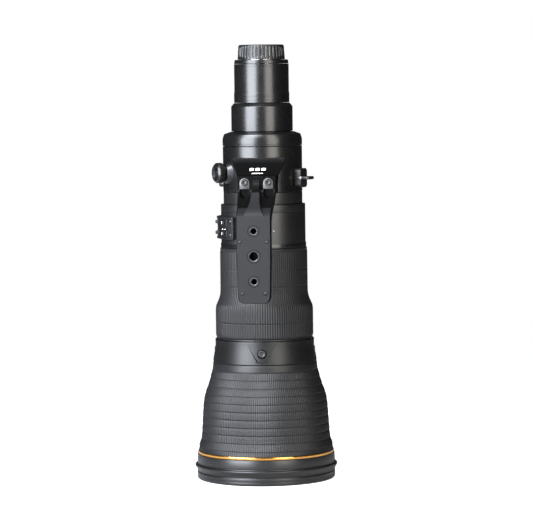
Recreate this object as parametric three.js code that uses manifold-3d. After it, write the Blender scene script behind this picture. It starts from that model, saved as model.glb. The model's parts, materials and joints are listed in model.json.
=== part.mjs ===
// A super-telephoto lens for a single-lens reflex camera, standing on its front rim with its rear cap on.
// Millimetres. +Z runs up the optical axis from the front rim to the rear cap, and the tripod foot is on the
// -Y side.
// A "bearing" is an angle round the optical axis in degrees, from the foot's side (-Y) towards -X.
// "Reach" is a distance from the optical axis, measured outwards along a bearing.

import * as THREE from 'three';
import { mergeVertices } from 'three/addons/utils/BufferGeometryUtils.js';
import Module from 'manifold-3d';

const wasm = await Module();
wasm.setup();

// ---------------------------------------------------------------- driving dimensions

const GAP = 0.3; // clearance between pieces that sit face to face
const RUNNING = 0.5; // radial clearance between a turning ring and its seat
const ROUND = 32; // sides of a large ring
const MEDIUM = 20; // sides of an inner ring or a lens element
const SMALL = 14; // sides of a screw, button or bush

const FRONT_RADIUS = 79.4; // the thin flange of the hood mount, the widest ring
const FOOT_REACH = 108; // the tripod foot's face
const CLEAR_RADIUS = 71.4; // the front barrel's bore: an 800 mm f/5.6 pupil is 143 mm across

// heights of the joints between barrels, from the front rim upwards
const RIM_TOP = 18;
const BLACK_RING_TOP = 28.3;
const GOLD_TOP = 31.8;
const FRONT_TOP = 130.8;
const BAND_TOP = 156.4;
const FOCUS_TOP = 258;
const MAIN_TOP = 306.3;
const COLLAR_BASE = 320.3;
const COLLAR_TOP = 370.4;
const RETAINER_TOP = 386.6;
const HOUSING_TOP = 418.2;
const REAR_TOP = 461.3;
const FLANGE = 466;
const CAP_TOP = 482.6;

// outer radii of the barrels
const BAND_RADIUS = 57.8;
const FOCUS_RADIUS = 53.9;
const SLEEVE_BORE = 45.2;
const MAIN_RADIUS = 46.9;
const MAIN_BORE = 41.8;
const COLLAR_RADIUS = 44;
const COLLAR_SEAT = 40.4;
const HOUSING_RADIUS = 34.1;
const REAR_RADIUS = 30.3;
const CAP_RADIUS = 26.4;

// the collar's foot, knob and lugs
const FOOT_PAD_REACH = 58; // where the foot is bolted to the collar
const FOOT_BACK_REACH = 95; // the foot's face towards the barrel
const FOOT_PLATE_THICKNESS = 1.5;
const FOOT_LOW = 203;
const FOOT_FACE_TOP = 297.4;
const BUSH_HEIGHT = 254.3; // the middle bush
const BUSH_PITCH = 27.2;
const QUARTER_INCH = { bore: 3.2, outer: 6.2 };
const THREE_EIGHTHS = { bore: 4.75, outer: 7.1 };
const BOLT_HEIGHT = 332.8;
const BOLT_OFFSET = 12.9;
const BOLT_SEAT_REACH = 71;
const KNOB_BEARING = 59;
const KNOB_HEIGHT = 341.7;
const KNOB_RADIUS = 11.2;
const LUG_HEIGHT = 335.4;
const LUG_BEARINGS = { strap_lug_right: -66, strap_lug_left: 114 };

// the switch panel
const PANEL = { from: 35, to: 125, low: 268.4, high: 293.4, inner: 47.2, outer: 51.8 };
const SWITCH_TRAVEL = 3; // each way from the middle

// the slip-in filter
const FILTER_HEIGHT = 402;
const FILTER_HALF_HEIGHT = 6.6;
const HOLDER_RADIUS = 29.9;

// the lens axis stands behind the origin, so that the origin is the middle of the foot-to-back depth
const AXIS_Y = (FOOT_REACH - FRONT_RADIUS) / 2;

// ---------------------------------------------------------------- materials

const paint = (color, roughness, metalness = 0) =>
  new THREE.MeshStandardMaterial({ color, roughness, metalness });
const blackMetal = paint(0x121213, 0.38, 0.4);
const blackPlastic = paint(0x17171a, 0.5);
const satinGrey = paint(0x3c3d41, 0.5, 0.3);
const rubber = paint(0x2b2c2f, 0.85);
const gold = paint(0xd59a3c, 0.25, 0.9);
const steel = paint(0x9a9ba0, 0.3, 0.9);
const chrome = paint(0xd0d2d6, 0.15, 1);
const brass = paint(0xb08d4a, 0.35, 0.9);
const optical = new THREE.MeshStandardMaterial({ color: 0x8fb0a8, roughness: 0.02, transparent: true, opacity: 0.35 });
const circuit = paint(0x1f4a2c, 0.6);

// ---------------------------------------------------------------- shapes

const radians = THREE.MathUtils.degToRad;

// A ring or disc turned about the optical axis. The profile is a list of [radius, height] round its outline.
// It closes on itself, unless it starts and ends on the axis.
function revolve(profile, sides = ROUND) {
  const signedArea = profile.reduce((sum, [r, z], i) => {
    const [nextR, nextZ] = profile[(i + 1) % profile.length];
    return sum + r * nextZ - nextR * z;
  }, 0);
  const points = profile.map(([r, z]) => new THREE.Vector2(r, z));
  if (signedArea < 0) points.reverse();
  if (profile[0][0] > 0) points.push(points[0].clone());
  return new THREE.LatheGeometry(points, sides).rotateX(Math.PI / 2);
}

const ring = (inner, outer, low, high, sides = ROUND) =>
  revolve([[inner, low], [outer, low], [outer, high], [inner, high]], sides);

const disc = (radius, low, high, sides = MEDIUM) =>
  revolve([[0, low], [radius, low], [radius, high], [0, high]], sides);

// A lens element. A sag above 0 makes that face bulge outwards, and one below 0 hollows it.
function element(radius, low, high, sagLow, sagHigh) {
  const steps = [0, 0.35, 0.65, 0.85, 1];
  const bulge = (share) => 1 - share * share;
  const lower = steps.map((s) => [radius * s, low - sagLow * bulge(s)]);
  const upper = steps.map((s) => [radius * s, high + sagHigh * bulge(s)]).reverse();
  return revolve([...lower, ...upper], MEDIUM);
}

const block = (width, from, to, low, high) =>
  new THREE.BoxGeometry(width, to - from, high - low).translate(0, -(from + to) / 2, (low + high) / 2);

// A round bar that points outwards along the foot's bearing, from one reach to another.
const bar = (radius, from, to, height, sides = SMALL, innerRadius = radius) =>
  new THREE.CylinderGeometry(innerRadius, radius, to - from, sides).translate(0, -(from + to) / 2, height);

// Extrudes an outline of [reach, height] points sideways, to a width centred on the foot's plane.
function sideExtrude(outline, width) {
  const shape = new THREE.Shape(outline.map(([u, z]) => new THREE.Vector2(u, z)));
  const basis = new THREE.Matrix4().makeBasis(
    new THREE.Vector3(0, -1, 0),
    new THREE.Vector3(0, 0, 1),
    new THREE.Vector3(-1, 0, 0),
  );
  return new THREE.ExtrudeGeometry(shape, { depth: width, bevelEnabled: false })
    .translate(0, 0, -width / 2)
    .applyMatrix4(basis);
}

// Extrudes a shape drawn as seen from the foot's side (x, z) outwards, from one reach to another.
function frontExtrude(shape, from, to, curveSegments = 6) {
  const basis = new THREE.Matrix4().makeBasis(
    new THREE.Vector3(1, 0, 0),
    new THREE.Vector3(0, 0, 1),
    new THREE.Vector3(0, -1, 0),
  );
  return new THREE.ExtrudeGeometry(shape, { depth: to - from, bevelEnabled: false, curveSegments })
    .translate(0, 0, from)
    .applyMatrix4(basis);
}

// Extrudes a shape drawn in plan (x, y) upwards.
const planExtrude = (shape, low, high, curveSegments = 12) =>
  new THREE.ExtrudeGeometry(shape, { depth: high - low, bevelEnabled: false, curveSegments }).translate(0, 0, low);

const outlineShape = (points) => new THREE.Shape(points.map(([x, z]) => new THREE.Vector2(x, z)));

// Both halves of an outline that is symmetric about x = 0, from its right half's points listed downwards.
const mirrored = (right) => outlineShape([...right, ...right.map(([x, z]) => [-x, z]).reverse()]);

// ---------------------------------------------------------------- joining and cutting

function toSolid(geometry) {
  const plain = geometry.clone();
  plain.deleteAttribute('normal');
  plain.deleteAttribute('uv');
  const merged = mergeVertices(plain, 1e-4);
  const mesh = new wasm.Mesh({
    numProp: 3,
    vertProperties: merged.attributes.position.array,
    triVerts: new Uint32Array(merged.index.array),
  });
  return new wasm.Manifold(mesh);
}

function toGeometry(solid) {
  const mesh = solid.getMesh();
  const geometry = new THREE.BufferGeometry();
  geometry.setAttribute('position', new THREE.BufferAttribute(mesh.vertProperties, 3));
  geometry.setIndex(new THREE.BufferAttribute(mesh.triVerts, 1));
  geometry.computeVertexNormals();
  return geometry;
}

const join = (...pieces) => toGeometry(pieces.map(toSolid).reduce((sum, piece) => sum.add(piece)));
const cut = (body, ...tools) =>
  toGeometry(tools.map(toSolid).reduce((left, tool) => left.subtract(tool), toSolid(body)));
const common = (...pieces) => toGeometry(pieces.map(toSolid).reduce((left, piece) => left.intersect(piece)));

// Turns a shape made at the foot's side round to another bearing.
const atBearing = (geometry, bearing) => geometry.rotateZ(-radians(bearing));

// The part of a ring between two bearings, under 160 degrees apart.
function sector(geometry, from, to) {
  const far = 200;
  const half = radians((to - from) / 2);
  const wedge = outlineShape([
    [0, 0],
    [-far * Math.sin(half), -far * Math.cos(half)],
    [0, -far],
    [far * Math.sin(half), -far * Math.cos(half)],
  ]);
  return common(geometry, atBearing(planExtrude(wedge, -10, 600), (from + to) / 2));
}

// ---------------------------------------------------------------- the tree

const lens = new THREE.Group();
lens.position.y = AXIS_Y;

function add(name, geometry, material, parent = lens) {
  const mesh = new THREE.Mesh(geometry, material);
  mesh.name = name;
  parent.add(mesh);
  return mesh;
}

// A group whose own -Y side points along a bearing, for pieces that are modelled at the foot's side.
function turned(bearing, parent = lens) {
  const group = new THREE.Group();
  group.rotation.z = -radians(bearing);
  parent.add(group);
  return group;
}

// ---------------------------------------------------------------- front barrel

function addFrontBarrel() {
  add('front_rim', revolve([
    [72.6, 0], [75.6, 0], [77, 1.4], [77, 8.2], [76, 8.5], [76, 9.3], [77, 9.6], [77.4, 11.6],
    [FRONT_RADIUS, 14.6], [FRONT_RADIUS, 16.4], [76.6, 17.2], [76.6, RIM_TOP],
    [69.8, RIM_TOP], [69.8, 15.9], [72.6, 15.5],
  ]), blackMetal);

  add('front_barrel', revolve([
    [77, RIM_TOP + GAP], [76.6, BLACK_RING_TOP], [74.2, BLACK_RING_TOP], [74.2, GOLD_TOP], [72.9, GOLD_TOP],
    [72.5, 36.8], [69.2, 44.8], [66.8, 82], [65, 93], [60, 107], [56, 121], [56, FRONT_TOP],
    [54, FRONT_TOP], [54, 121], [58, 107], [63, 93], [65, 82], [67, 46.6], [CLEAR_RADIUS, 38.2],
    [CLEAR_RADIUS, RIM_TOP + GAP],
  ]), blackMetal);

  add('gold_ring', ring(74.5, 76, BLACK_RING_TOP + GAP, GOLD_TOP - 0.1), gold);

  add('front_grip', revolve([
    [75.1, GOLD_TOP + GAP], [74.7, 37.2], [71.5, 45.2], [69, 83], [67.5, 93.6], [62.4, 107.2], [58.5, 121.6],
    [57.9, FRONT_TOP], [56.3, FRONT_TOP], [56.8, 121.3], [60.7, 107.2], [65.8, 92.8], [67.3, 82.6],
    [69.8, 45], [72.9, 37], [73.3, GOLD_TOP + GAP],
  ]), rubber);

  add('front_glass', element(CLEAR_RADIUS - 0.4, 18.4, 22.6, 1.5, -1.5), optical);
  add('front_element_1', element(CLEAR_RADIUS - 0.4, 28.6, 36.6, 5, 5), optical);
  add('front_element_2', element(65.8, 53, 60, 4, -2.5), optical);
}

// ---------------------------------------------------------------- band of function buttons

const BUTTON_HEIGHT = 143.2;
const BUTTON_BEARINGS = [-2.4, 87.6, 177.6, 267.6];
const BUTTON_RADIUS = 4.5;
const BUTTON_WELL_RADIUS = 5.3;

function addFunctionBand() {
  const band = revolve([
    [BAND_RADIUS, FRONT_TOP + 0.4], [57.2, 136.5], [56.3, 143], [55.3, 149.4], [55, BAND_TOP],
    [53.1, BAND_TOP], [53.1, FRONT_TOP + 0.4],
  ]);
  const recessFloor = revolve([[0, 120], [56.4, 120], [55.9, 136], [55, 149], [54.7, 170], [0, 170]]);
  const vee = mirrored([[17.5, 154.2], [4.4, 135.6], [2.6, 134.2]]);
  const recess = cut(frontExtrude(vee, 40, 62), recessFloor);
  const recesses = BUTTON_BEARINGS.map((bearing) => atBearing(recess.clone(), bearing));
  const well = bar(BUTTON_WELL_RADIUS, 52, 62, BUTTON_HEIGHT);
  const wells = BUTTON_BEARINGS.map((bearing) => atBearing(well.clone(), bearing));
  add('function_band', cut(band, ...recesses, ...wells), blackMetal);

  BUTTON_BEARINGS.forEach((bearing, i) => {
    add(`function_button_${i + 1}`, bar(BUTTON_RADIUS, 54.3, 56.1, BUTTON_HEIGHT), blackPlastic, turned(bearing));
  });
}

// ---------------------------------------------------------------- focusing ring

function addFocusRing() {
  add('focus_sleeve', revolve([
    [53.6, BAND_TOP + 0.7], [53.6, 158.4], [52, 158.4], [52, 190], [49.4, 197.2], [47.1, 203], [46.6, 209],
    [46.6, FOCUS_TOP], [SLEEVE_BORE, FOCUS_TOP], [SLEEVE_BORE, 196], [50.2, 188], [50.2, BAND_TOP + 0.7],
  ]), blackMetal);

  add('focus_grip', revolve([
    [FOCUS_RADIUS, 158.7], [FOCUS_RADIUS, 189.6], [53.5, 193.4], [51.5, 198.2], [49.5, 202.8], [48.6, 208],
    [48.4, FOCUS_TOP], [46.9, FOCUS_TOP], [46.9, 208.6], [47.8, 203], [49.8, 198.4], [51.6, 194],
    [52.3, 190], [52.3, 158.7],
  ]), rubber);
}

// ---------------------------------------------------------------- main barrel, distance scale and switch panel

const WINDOW = { width: 32, low: 268.4, high: 290.4 };

function addMainBarrel() {
  const barrel = revolve([
    [52.7, 140], [52.7, 143], [SLEEVE_BORE - RUNNING, 143], [SLEEVE_BORE - RUNNING, FOCUS_TOP + 0.4],
    [47.2, FOCUS_TOP + 0.4], [47.2, 263.4], [MAIN_RADIUS, 264.4], [MAIN_RADIUS, MAIN_TOP],
    [MAIN_BORE, MAIN_TOP], [MAIN_BORE, 140],
  ]);
  const windowCut = block(WINDOW.width, -50, -38, WINDOW.low, WINDOW.high);
  add('main_barrel', cut(barrel, windowCut), blackMetal);

  const pane = block(WINDOW.width - 0.8, -50, -38, WINDOW.low + 0.4, WINDOW.high - 0.4);
  add('distance_window', common(ring(45.2, 46.7, WINDOW.low, WINDOW.high), pane), optical);
  add('distance_scale', ring(39.6, 41.2, 264.4, 294.4), blackPlastic);
}

const SWITCHES = [
  { name: 'focus_mode_switch', bearing: 54, height: 287 },
  { name: 'focus_limit_switch', bearing: 54, height: 275 },
  { name: 'stabiliser_switch', bearing: 84, height: 287 },
  { name: 'function_select_switch', bearing: 84, height: 275 },
];
const MEMORY_BUTTON = { bearing: 113, height: 281, radius: 3.2 };

function addSwitchPanel() {
  const plate = sector(ring(PANEL.inner, PANEL.outer, PANEL.low, PANEL.high, 2 * ROUND), PANEL.from, PANEL.to);
  const slots = SWITCHES.map(({ bearing, height }) =>
    atBearing(block(2 * SWITCH_TRAVEL + 3.4, 48.2, 54, height - 1.6, height + 1.6), bearing));
  const well = atBearing(bar(MEMORY_BUTTON.radius + 0.4, 48.1, 54, MEMORY_BUTTON.height), MEMORY_BUTTON.bearing);
  add('switch_panel', cut(plate, ...slots, well), blackPlastic);

  for (const { name, bearing, height } of SWITCHES) {
    const head = block(6, 52.1, 53.4, height - 1.8, height + 1.8);
    const stem = block(2.4, 48.6, 52.3, height - 1.2, height + 1.2);
    add(name, join(head, stem), blackPlastic, turned(bearing));
  }
  const { bearing, height, radius } = MEMORY_BUTTON;
  add('memory_button', bar(radius, 49.2, 52.6, height), blackPlastic, turned(bearing));
}

// ---------------------------------------------------------------- focusing group, motor and circuit board

function addFocusUnit() {
  add('focus_cell', revolve([
    [26.2, 198], [41.2, 198], [41.2, 214], [39, 214], [39, 202], [28.5, 202], [28.5, 212], [26.2, 212],
  ], MEDIUM), blackMetal);
  add('focus_element', element(25.8, 202, 209, -1.5, 2.5), optical);
  add('focus_motor', revolve([
    [34, 234], [41.3, 234], [41.3, 246], [38, 246], [38, 243], [34, 243],
  ], MEDIUM), steel);
  add('circuit_board', ring(24, 41, 251, 252.6, MEDIUM), circuit);
}

// ---------------------------------------------------------------- aperture and vibration reduction

function addApertureUnit() {
  const bladeCount = 9;
  const housing = ring(24, 36.1, 305.5, 313.5, MEDIUM);
  const opening = new THREE.Path();
  opening.setFromPoints(Array.from({ length: bladeCount }, (_, i) => {
    const angle = (2 * Math.PI * i) / bladeCount;
    return new THREE.Vector2(17 * Math.cos(angle), 17 * Math.sin(angle));
  }));
  const bladeStack = new THREE.Shape().absarc(0, 0, 25, 0, 2 * Math.PI);
  bladeStack.holes.push(opening);
  add('aperture_unit', join(housing, planExtrude(bladeStack, 308.6, 310.2)), blackMetal);
}

function addStabiliser() {
  const travel = 1.2;
  add('stabiliser_base', ring(23.5, 36.1, 322, 325, MEDIUM), blackMetal);
  add('stabiliser_frame', ring(22.5, 33.9 - travel, 325.6, 328, MEDIUM), steel);
  add('stabiliser_cell', revolve([
    [18.3, 328.6], [31, 328.6], [31, 331], [22, 331], [22, 338], [18.3, 338],
  ], MEDIUM), blackPlastic);
  add('stabiliser_element', element(17.9, 330, 336, -1, 1.8), optical);
}

// ---------------------------------------------------------------- tripod collar

function addCollar() {
  add('collar_tube', revolve([
    [41.4, 297], [41.4, MAIN_TOP + GAP], [43.8, MAIN_TOP + GAP], [43.8, COLLAR_BASE - 0.4],
    [COLLAR_SEAT, COLLAR_BASE - 0.4], [COLLAR_SEAT, 383], [36.5, 383], [36.5, 297],
  ]), blackMetal);

  add('collar_retainer', revolve([
    [44.2, COLLAR_TOP + 0.6], [44.2, 379], [42.4, 384], [34.8, RETAINER_TOP], [33, RETAINER_TOP],
    [33, 383.6], [40.8, 383.6], [40.8, COLLAR_TOP + 0.6],
  ]), blackMetal);

  const sleeve = revolve([
    [39, COLLAR_BASE], [COLLAR_RADIUS, COLLAR_BASE], [COLLAR_RADIUS, COLLAR_TOP], [39, COLLAR_TOP],
  ]);
  const footBossProfile = sideExtrude([
    [35, 357], [44.6, 357], [52, 347.6], [62, 339.5], [FOOT_PAD_REACH, 339.4], [FOOT_PAD_REACH, 320.6], [35, 320.6],
  ], 80);
  const footBossOutline = mirrored([[29, 358], [22, 339], [21, 320]]);
  const footBoss = common(footBossProfile, frontExtrude(footBossOutline, 30, 70));
  const knobBoss = atBearing(bar(10.1, 38, 47.4, KNOB_HEIGHT, 24, 16.3), KNOB_BEARING);
  const bore = disc(COLLAR_SEAT + RUNNING, 300, 400, ROUND);
  const screwHole = atBearing(bar(3.4, 38, 48, KNOB_HEIGHT), KNOB_BEARING);
  const boltHoles = [-1, 1].map((side) => bar(2.4, 47, 60, BOLT_HEIGHT, 12).translate(side * BOLT_OFFSET, 0, 0));
  add('collar_ring', cut(join(sleeve, footBoss, knobBoss), bore, screwHole, ...boltHoles), blackMetal);

  const knobSide = turned(KNOB_BEARING);
  const knob = cut(bar(KNOB_RADIUS, 47.9, 58.2, KNOB_HEIGHT, 24), bar(3.4, 47, 50.2, KNOB_HEIGHT));
  add('collar_lock_knob', knob, blackPlastic, knobSide);
  add('collar_lock_screw', bar(3, 41.4, 49.8, KNOB_HEIGHT), steel, knobSide);

  for (const [name, bearing] of Object.entries(LUG_BEARINGS)) {
    add(name, strapLug(), blackMetal, turned(bearing));
  }
}

// A block with an eyelet standing out of it, for a neck strap.
function strapLug() {
  const halfWidth = 7;
  const reach = 61.8;
  const corner = 4;
  const blockHalf = 8;
  const blockHalfHeight = 10.6;
  const plate = outlineShape([
    [-halfWidth, -46], [halfWidth, -46], [halfWidth, corner - reach], [halfWidth - corner, -reach],
    [corner - halfWidth, -reach], [-halfWidth, corner - reach],
  ]);
  const eyelet = planExtrude(plate, LUG_HEIGHT - 1.8, LUG_HEIGHT + 1.8);
  const slot = block(8.4, 53.1, 59.1, LUG_HEIGHT - 4, LUG_HEIGHT + 4);
  const base = planExtrude(outlineShape([
    [-blockHalf, -40], [blockHalf, -40], [blockHalf, -49.6], [blockHalf - 2.4, -52], [2.4 - blockHalf, -52],
    [-blockHalf, -49.6],
  ]), LUG_HEIGHT - blockHalfHeight, LUG_HEIGHT + blockHalfHeight);
  return cut(join(base, eyelet), disc(COLLAR_RADIUS + GAP, 300, 400, ROUND), slot);
}

// ---------------------------------------------------------------- tripod foot

const footScrewPlaces = [[-14.6, 270], [14.6, 270], [-12.4, 214.2], [12.4, 214.2]];
const bushes = [
  { name: 'foot_bush_upper', height: BUSH_HEIGHT + BUSH_PITCH, ...QUARTER_INCH },
  { name: 'foot_bush_middle', height: BUSH_HEIGHT, ...THREE_EIGHTHS },
  { name: 'foot_bush_lower', height: BUSH_HEIGHT - BUSH_PITCH, ...QUARTER_INCH },
];

function addFoot() {
  const seat = FOOT_REACH - FOOT_PLATE_THICKNESS - GAP;
  const padTop = 339.1;
  const shoulders = sideExtrude([
    [FOOT_PAD_REACH + GAP, padTop], [BOLT_SEAT_REACH, padTop], [BOLT_SEAT_REACH, 325.3], [77, 319.3], [91, 307.8],
    [104, 300.3], [FOOT_REACH, FOOT_FACE_TOP], [seat, FOOT_FACE_TOP - 0.5], [seat, 205.8], [103, FOOT_LOW],
    [98, FOOT_LOW], [FOOT_BACK_REACH, 205.8], [FOOT_BACK_REACH, 286.3], [90, 295.3], [78, 303.3], [66, 309.3],
    [FOOT_PAD_REACH + GAP, 320.7],
  ], 60);
  const outline = mirrored([
    [20.6, padTop + 1], [20.4, 322.3], [19.4, 308.3], [18.6, 296.3], [18.4, 252], [17.6, 216.6], [16.5, 209],
    [13.8, 204.7], [10.4, FOOT_LOW - 0.1],
  ]);
  const neck = common(shoulders, frontExtrude(outline, 50, 115));

  const ribProfile = sideExtrude([
    [60, 336.3], [72, 336.3], [80, 327.3], [92, 317.3], [103, 309.3], [FOOT_REACH, 303.3],
    [FOOT_REACH, FOOT_FACE_TOP - 0.1], [100, FOOT_FACE_TOP - 0.1], [80, 306.3], [60, 320.9],
  ], 60);
  const ribOutline = mirrored([[4.6, 338.3], [4.8, 320.3], [6.5, 311.3], [10.6, 303.3], [13, 298.3], [13.4, 296.3]]);
  const rib = common(ribProfile, frontExtrude(ribOutline, 50, 115));

  const bushHoles = bushes.map(({ height, outer }) => bar(outer + GAP, 90, 110, height));
  const screwHoles = footScrewPlaces.map(([x, z]) => bar(1.3, 102, 110, z, 8).translate(x, 0, 0));
  const boltHoles = [-1, 1].map((side) => bar(2.4, 56, 73, BOLT_HEIGHT, 12).translate(side * BOLT_OFFSET, 0, 0));
  add('foot_bracket', cut(join(neck, rib), ...bushHoles, ...screwHoles, ...boltHoles), blackMetal);

  const plateOutline = mirrored([
    [17.9, FOOT_FACE_TOP - 1], [17.7, 252], [16.9, 216.6], [15.9, 209.4], [13.4, 205.3], [10.2, FOOT_LOW + 1],
  ]);
  const plate = frontExtrude(plateOutline, FOOT_REACH - FOOT_PLATE_THICKNESS, FOOT_REACH);
  const plateScrewHoles = footScrewPlaces.map(([x, z]) => bar(2, 102, 110, z, 12).translate(x, 0, 0));
  const plateBushHoles = bushes.map(({ height, outer }) => bar(outer + GAP, 90, 110, height));
  add('foot_plate', cut(plate, ...plateBushHoles, ...plateScrewHoles), satinGrey);

  for (const { name, height, bore, outer } of bushes) {
    add(name, cut(bar(outer, 96.4, FOOT_REACH, height), bar(bore, 90, 110, height)), steel);
  }
  footScrewPlaces.forEach(([x, z], i) => {
    const screw = join(bar(1.7, 106.7, 107.8, z, 10), bar(0.9, 102.6, 106.9, z, 8)).translate(x, 0, 0);
    add(`foot_screw_${i + 1}`, screw, steel);
  });
  for (const [name, side] of [['foot_bolt_left', -1], ['foot_bolt_right', 1]]) {
    const head = bar(3.6, BOLT_SEAT_REACH + GAP, 74.2, BOLT_HEIGHT, 12);
    const socket = bar(1.6, 72.4, 75, BOLT_HEIGHT, 6);
    const shank = bar(2, 48, 72, BOLT_HEIGHT, 10);
    add(name, cut(join(head, shank), socket).translate(side * BOLT_OFFSET, 0, 0), steel);
  }
}

// ---------------------------------------------------------------- slip-in filter

// The filter holder's plan: a half disc on the foot's side, with straight sides out to the back.
function holderPlan(radius, back) {
  const shape = new THREE.Shape();
  shape.moveTo(radius, back);
  shape.lineTo(-radius, back);
  shape.lineTo(-radius, 0);
  shape.absarc(0, 0, radius, Math.PI, 2 * Math.PI, false);
  return shape;
}

function addFilterUnit() {
  const low = FILTER_HEIGHT - FILTER_HALF_HEIGHT;
  const high = FILTER_HEIGHT + FILTER_HALF_HEIGHT;
  const housing = revolve([
    [HOUSING_RADIUS, RETAINER_TOP + 0.5], [HOUSING_RADIUS, 414.4], [31, HOUSING_TOP], [25.5, HOUSING_TOP],
    [25.5, RETAINER_TOP + 0.5],
  ]);
  add('filter_housing', cut(housing, planExtrude(holderPlan(HOLDER_RADIUS + 0.4, 60), low, high)), blackMetal);

  const frame = common(
    planExtrude(holderPlan(HOLDER_RADIUS, 40), low + 0.4, high - 0.4),
    disc(HOUSING_RADIUS, low, high, ROUND),
  );
  const filterBore = disc(26.1, low - 1, FILTER_HEIGHT + 2);
  const throat = disc(24.2, low - 1, high + 1);
  add('filter_holder', cut(frame, filterBore, throat), blackPlastic);
  add('filter_glass', disc(25.8, FILTER_HEIGHT - 1.2, FILTER_HEIGHT + 1.6), optical);

  const collarOfKnob = bar(7.4, 34.5, 36.2, FILTER_HEIGHT, 20);
  const wing = block(12.6, 36, 41, FILTER_HEIGHT - 2.1, FILTER_HEIGHT + 2.1);
  add('filter_knob', join(collarOfKnob, wing), blackPlastic, turned(180));
}

// ---------------------------------------------------------------- rear barrel, mount and cap

const CLAW_BEARINGS = [0, 120, 240];

function addRear() {
  add('rear_barrel', revolve([
    [30.7, HOUSING_TOP + 0.4], [30.7, 429], [REAR_RADIUS, 430.5], [REAR_RADIUS, REAR_TOP], [27.5, REAR_TOP],
    [27.5, 450], [19.2, 450], [19.2, 437], [27.5, 437], [27.5, HOUSING_TOP + 0.4],
  ]), blackMetal);
  add('rear_element', element(18.8, 439, 447, -1, 2), optical);
  add('mount_gasket', revolve([
    [28.9, REAR_TOP + GAP], [30.2, REAR_TOP + GAP], [29.6, FLANGE], [28.9, FLANGE],
  ]), rubber);

  const flangeAndTube = revolve([
    [19.5, REAR_TOP + GAP], [28.6, REAR_TOP + GAP], [28.6, FLANGE], [26.8, FLANGE], [26.8, FLANGE - 0.2],
    [21.9, FLANGE - 0.2], [21.9, 472], [19.5, 472],
  ]);
  const claws = CLAW_BEARINGS.map((bearing) => sector(ring(21, 23.5, 470.3, 472), bearing - 25, bearing + 25));
  add('lens_mount', join(flangeAndTube, ...claws), chrome);
  add('contact_block', sector(ring(16, 19, 463, 470), -30, 30), brass);

  const shell = cut(
    revolve([[0, FLANGE + GAP], [CAP_RADIUS, FLANGE + GAP], [25.4, 481.2], [24.2, CAP_TOP], [0, CAP_TOP]]),
    disc(24.4, FLANGE - 1, 480.4, ROUND),
  );
  add('rear_cap', shell, blackPlastic);
}

addFrontBarrel();
addFunctionBand();
addFocusRing();
addMainBarrel();
addSwitchPanel();
addFocusUnit();
addApertureUnit();
addStabiliser();
addCollar();
addFoot();
addFilterUnit();
addRear();

const part = new THREE.Group();
part.add(lens);

export default part;
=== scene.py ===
"""The looks of a super-telephoto lens that stands on its front rim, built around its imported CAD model.

Lengths are metres, and MM turns millimetres into them. Outlines of round pieces are read off the CAD nodes
as (radius, height) about the optical axis. A bearing is an angle about that axis in degrees, from the tripod
foot's side (-Y) towards -X. Reach is the distance from the axis, measured outwards along a bearing.
"""

import json
import math

import bmesh
import bpy
import numpy as np
from mathutils import Matrix, Vector

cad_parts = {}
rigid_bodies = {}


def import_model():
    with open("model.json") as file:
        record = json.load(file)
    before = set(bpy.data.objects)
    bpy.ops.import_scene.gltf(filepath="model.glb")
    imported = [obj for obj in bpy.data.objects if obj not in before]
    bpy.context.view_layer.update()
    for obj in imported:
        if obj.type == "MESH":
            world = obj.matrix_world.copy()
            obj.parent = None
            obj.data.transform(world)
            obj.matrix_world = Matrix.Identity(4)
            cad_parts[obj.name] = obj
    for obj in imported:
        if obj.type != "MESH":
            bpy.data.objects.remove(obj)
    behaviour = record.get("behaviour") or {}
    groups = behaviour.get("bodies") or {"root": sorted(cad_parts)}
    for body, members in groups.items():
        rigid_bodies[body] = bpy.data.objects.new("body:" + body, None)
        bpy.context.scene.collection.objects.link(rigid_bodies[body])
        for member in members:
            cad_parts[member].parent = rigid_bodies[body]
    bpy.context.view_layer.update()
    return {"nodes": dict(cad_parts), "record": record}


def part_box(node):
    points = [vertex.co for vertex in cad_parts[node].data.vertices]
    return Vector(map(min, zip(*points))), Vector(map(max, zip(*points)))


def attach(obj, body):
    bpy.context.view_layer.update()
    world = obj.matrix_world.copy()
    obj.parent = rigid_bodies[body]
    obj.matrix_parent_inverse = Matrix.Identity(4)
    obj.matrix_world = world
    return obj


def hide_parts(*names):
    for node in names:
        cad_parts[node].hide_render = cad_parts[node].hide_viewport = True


for leftover in list(bpy.data.objects):
    bpy.data.objects.remove(leftover)

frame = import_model()

MM = 0.001
NODES = frame["nodes"]
RECORD = frame["record"]
SLOT_OF = {row["node"]: row["material_slot"] for row in RECORD["subparts"]}
BODY_OF = {node: body for body, nodes in RECORD["behaviour"]["bodies"].items() for node in nodes}


def low(node):
    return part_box(node)[0]


def high(node):
    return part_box(node)[1]


def middle(node):
    return (low(node) + high(node)) / 2


def half_height(node):
    return (high(node).z - low(node).z) / 2


AXIS_Y = middle("gold_ring").y
AXIS = Matrix.Translation((0, AXIS_Y, 0))


def outward(bearing, reach=0.0, height=0.0):
    """A frame whose Z points outwards along a bearing, with Y up and X to the right as seen from outside."""
    a = math.radians(bearing)
    right = Vector((math.cos(a), -math.sin(a), 0))
    out = Vector((-math.sin(a), -math.cos(a), 0))
    origin = Vector((0, AXIS_Y, height)) + out * reach
    return Matrix((
        (right.x, 0, out.x, origin.x),
        (right.y, 0, out.y, origin.y),
        (0, 1, 0, origin.z),
        (0, 0, 0, 1),
    ))


# ---------------------------------------------------------------- materials


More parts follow.
